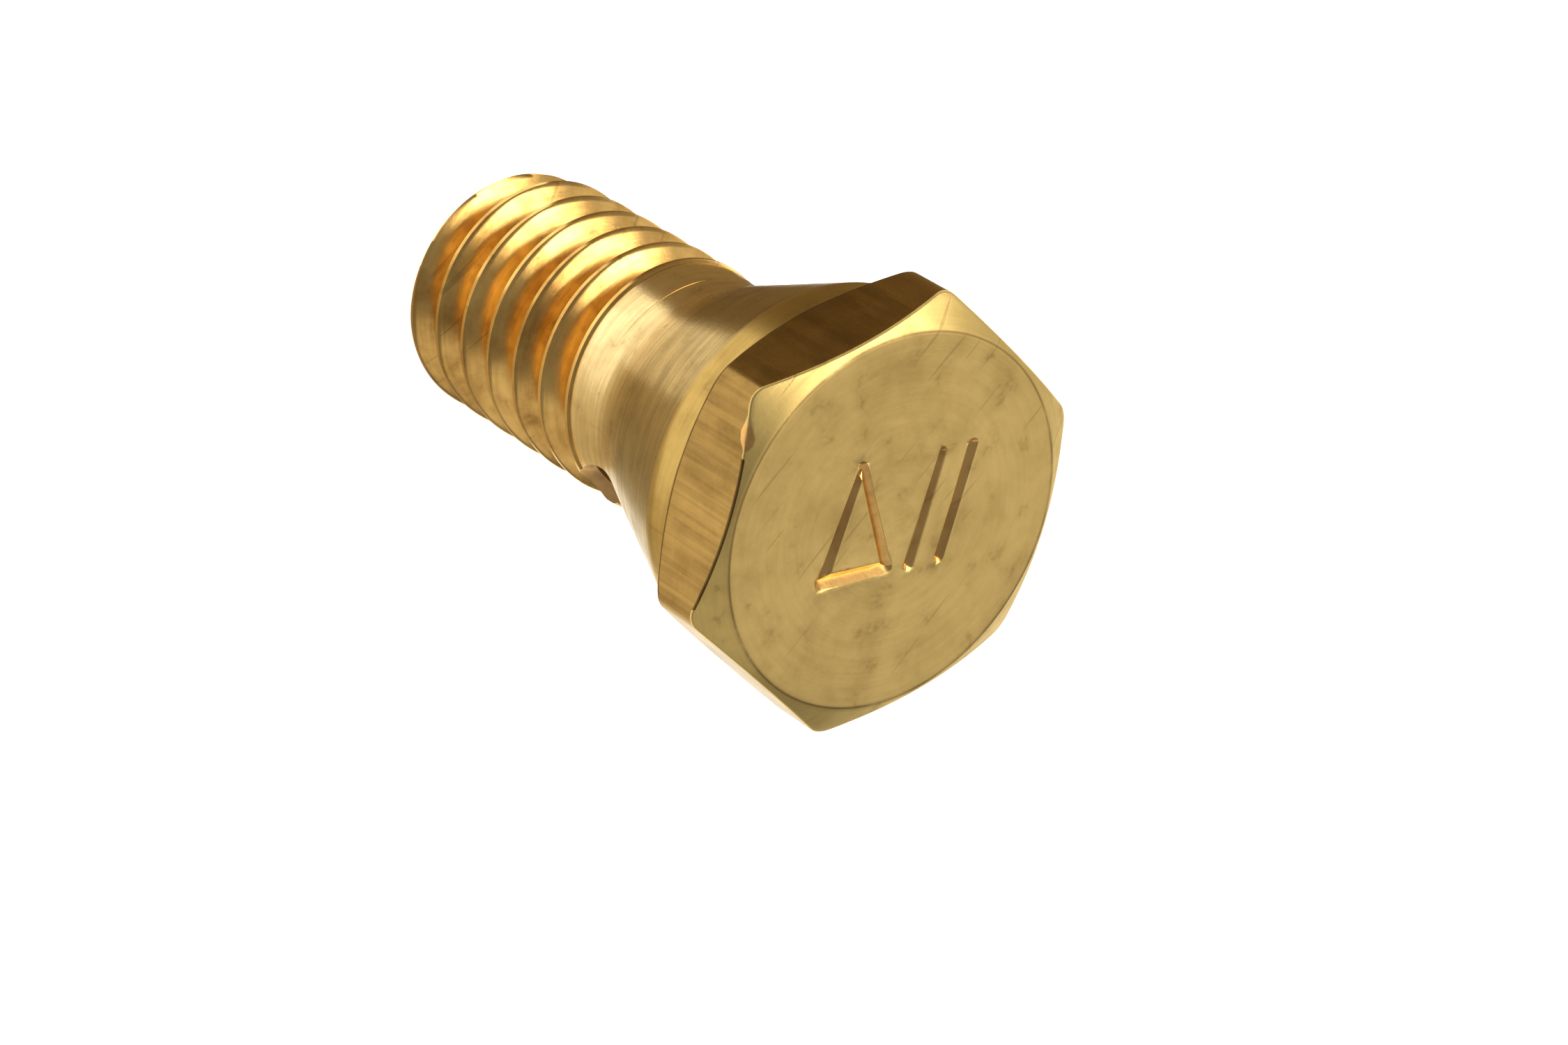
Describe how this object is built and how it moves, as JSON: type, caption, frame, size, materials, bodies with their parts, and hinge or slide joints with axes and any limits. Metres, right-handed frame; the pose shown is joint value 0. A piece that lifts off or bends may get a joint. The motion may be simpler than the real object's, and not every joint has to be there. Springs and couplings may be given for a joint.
{
  "type": "hex bolt",
  "caption": "Turned brass hex bolt with a chamfered hex head, a tapered seat, a smooth cross-drilled shank and a coarse thread with a blind bore up from its tip.",
  "frame": {"origin": "centre of the end plane at the thread's tip, on the bolt's axis, so that the bolt stands on its tip", "axes": "+Z along the bolt's axis from the tip towards the head; two of the six wrench flats face -Y and +Y"},
  "size_m": [0.0136, 0.012, 0.0198],
  "materials": {
    "brass": "satin turned brass with fine tool lines, polished on the thread"
  },
  "bodies": {
    "root": {"bolt": "brass"}
  },
  "joints": []
}
